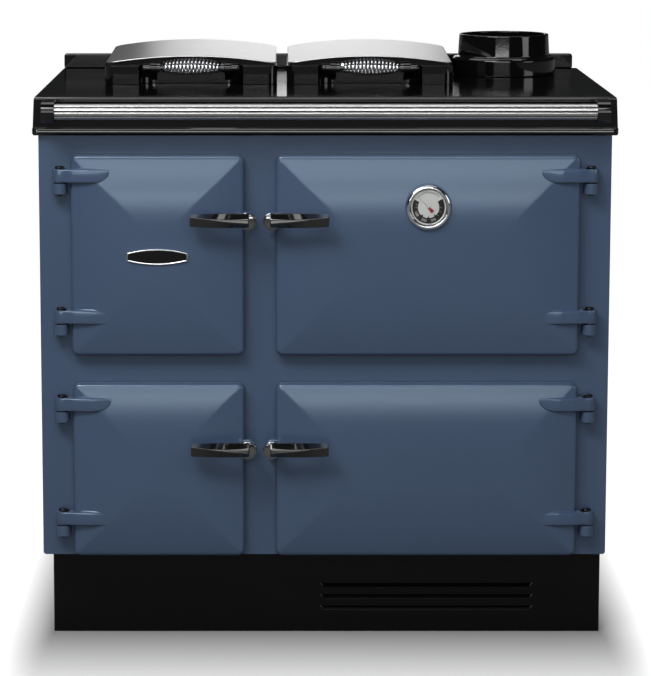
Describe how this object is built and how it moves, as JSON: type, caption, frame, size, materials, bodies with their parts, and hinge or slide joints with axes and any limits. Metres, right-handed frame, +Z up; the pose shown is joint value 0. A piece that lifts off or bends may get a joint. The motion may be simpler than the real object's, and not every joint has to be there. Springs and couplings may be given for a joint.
{
  "type": "cast iron range cooker",
  "caption": "Slate blue cast iron range cooker with hinged hipped doors on lever latches, two domed hob lids with sprung handles, a handrail, a round flue spigot and a louvred plinth.",
  "frame": {"origin": "on the floor, in the middle of the width over the hob's lips and of the depth from the handrail's front to the back panel", "axes": "+X to the cooker's right as seen from the front, +Y to the back, +Z up"},
  "size_m": [0.99, 0.6929, 1.022],
  "materials": {
    "blue_enamel": "slate blue vitreous enamel, glossy with a slight orange peel",
    "black_enamel": "black vitreous enamel, high gloss",
    "satin_steel": "satin stainless steel, brushed along the lid",
    "chrome": "polished chrome",
    "bare_iron": "bare cast iron, fine sand texture",
    "machined_iron": "machined cast iron hotplate",
    "sheet_steel": "mill-finish sheet steel",
    "plated_sheet": "bright aluminised insulated liner",
    "glass_rope": "braided glass-fibre rope",
    "lever_black": "black gloss moulding",
    "plinth_black": "black powder coat",
    "dial_white": "white enamelled dial with a plain black scale",
    "needle_red": "red painted needle",
    "gauge_glass": "clear flat glass"
  },
  "bodies": {
    "cabinet": {"plinth_front": "plinth_black", "plinth_frame": "plinth_black", "levelling_feet": "sheet_steel", "base_plate": "bare_iron", "front_plate": "blue_enamel", "side_panel_left": "blue_enamel", "side_panel_right": "blue_enamel", "back_panel": "sheet_steel", "hob_plate": "black_enamel", "back_upstand": "black_enamel", "handrail_tube": "chrome", "handrail_brackets": "black_enamel", "hotplate": "machined_iron", "flue_spigot": "black_enamel", "flue_box": "sheet_steel", "combustion_chamber": "bare_iron", "burner_pot": "bare_iron", "burner_shells": "sheet_steel", "oil_control": "sheet_steel", "main_oven": "black_enamel", "oven_shelf": "chrome", "warming_oven": "black_enamel", "hinge_pins": "black_enamel", "door_catches": "blue_enamel", "lid_hinge_brackets": "black_enamel"},
    "fire_door": {"fire_door": "blue_enamel", "fire_door_liner": "plated_sheet", "fire_door_seal": "glass_rope", "badge_plate": "black_enamel"},
    "fire_door_lever": {"fire_door_handle": "lever_black", "fire_door_latch": "chrome"},
    "burner_door": {"burner_door": "blue_enamel", "burner_door_liner": "plated_sheet", "burner_door_seal": "glass_rope"},
    "burner_door_lever": {"burner_door_handle": "lever_black", "burner_door_latch": "chrome"},
    "oven_door": {"oven_door": "blue_enamel", "oven_door_liner": "plated_sheet", "oven_door_seal": "glass_rope", "thermometer_bezel": "chrome", "thermometer_dial": "dial_white", "thermometer_glass": "gauge_glass"},
    "oven_door_lever": {"oven_door_handle": "lever_black", "oven_door_latch": "chrome"},
    "warming_door": {"warming_door": "blue_enamel", "warming_door_liner": "plated_sheet", "warming_door_seal": "glass_rope"},
    "warming_door_lever": {"warming_door_handle": "lever_black", "warming_door_latch": "chrome"},
    "thermometer_needle": {"thermometer_needle": "needle_red"},
    "left_lid": {"left_lid_dome": "satin_steel", "left_lid_frame": "black_enamel", "left_lid_liner": "plated_sheet", "left_lid_spring": "chrome", "left_lid_rod": "chrome"},
    "right_lid": {"right_lid_dome": "satin_steel", "right_lid_frame": "black_enamel", "right_lid_liner": "plated_sheet", "right_lid_spring": "chrome", "right_lid_rod": "chrome"}
  },
  "joints": [
    {"name": "fire_door_hinge", "type": "hinge", "parent": "cabinet", "child": "fire_door", "pos_m": [-0.4486, -0.2805, 0.507], "axis": [0, 0, -1], "range_deg": [0, 120]},
    {"name": "fire_door_lever_lift", "type": "hinge", "parent": "fire_door", "child": "fire_door_lever", "pos_m": [-0.131, -0.2935, 0.741], "axis": [0, 1, 0], "range_deg": [0, 40]},
    {"name": "burner_door_hinge", "type": "hinge", "parent": "cabinet", "child": "burner_door", "pos_m": [-0.4486, -0.2805, 0.157], "axis": [0, 0, -1], "range_deg": [0, 120]},
    {"name": "burner_door_lever_lift", "type": "hinge", "parent": "burner_door", "child": "burner_door_lever", "pos_m": [-0.131, -0.2935, 0.349], "axis": [0, 1, 0], "range_deg": [0, 40]},
    {"name": "oven_door_hinge", "type": "hinge", "parent": "cabinet", "child": "oven_door", "pos_m": [0.4496, -0.2805, 0.507], "axis": [0, 0, 1], "range_deg": [0, 120]},
    {"name": "oven_door_lever_lift", "type": "hinge", "parent": "oven_door", "child": "oven_door_lever", "pos_m": [-0.09, -0.2935, 0.741], "axis": [0, -1, 0], "range_deg": [0, 40]},
    {"name": "warming_door_hinge", "type": "hinge", "parent": "cabinet", "child": "warming_door", "pos_m": [0.4496, -0.2805, 0.157], "axis": [0, 0, 1], "range_deg": [0, 120]},
    {"name": "warming_door_lever_lift", "type": "hinge", "parent": "warming_door", "child": "warming_door_lever", "pos_m": [-0.09, -0.2935, 0.349], "axis": [0, -1, 0], "range_deg": [0, 40]},
    {"name": "thermometer_needle_turn", "type": "hinge", "parent": "oven_door", "child": "thermometer_needle", "pos_m": [0.1735, -0.3035, 0.7635], "axis": [0, -1, 0], "range_deg": [0, 255]},
    {"name": "left_lid_hinge", "type": "hinge", "parent": "cabinet", "child": "left_lid", "pos_m": [-0.387, 0.2845, 0.96], "axis": [-1, 0, 0], "range_deg": [0, 92]},
    {"name": "right_lid_hinge", "type": "hinge", "parent": "cabinet", "child": "right_lid", "pos_m": [-0.065, 0.2845, 0.96], "axis": [-1, 0, 0], "range_deg": [0, 92]}
  ]
}
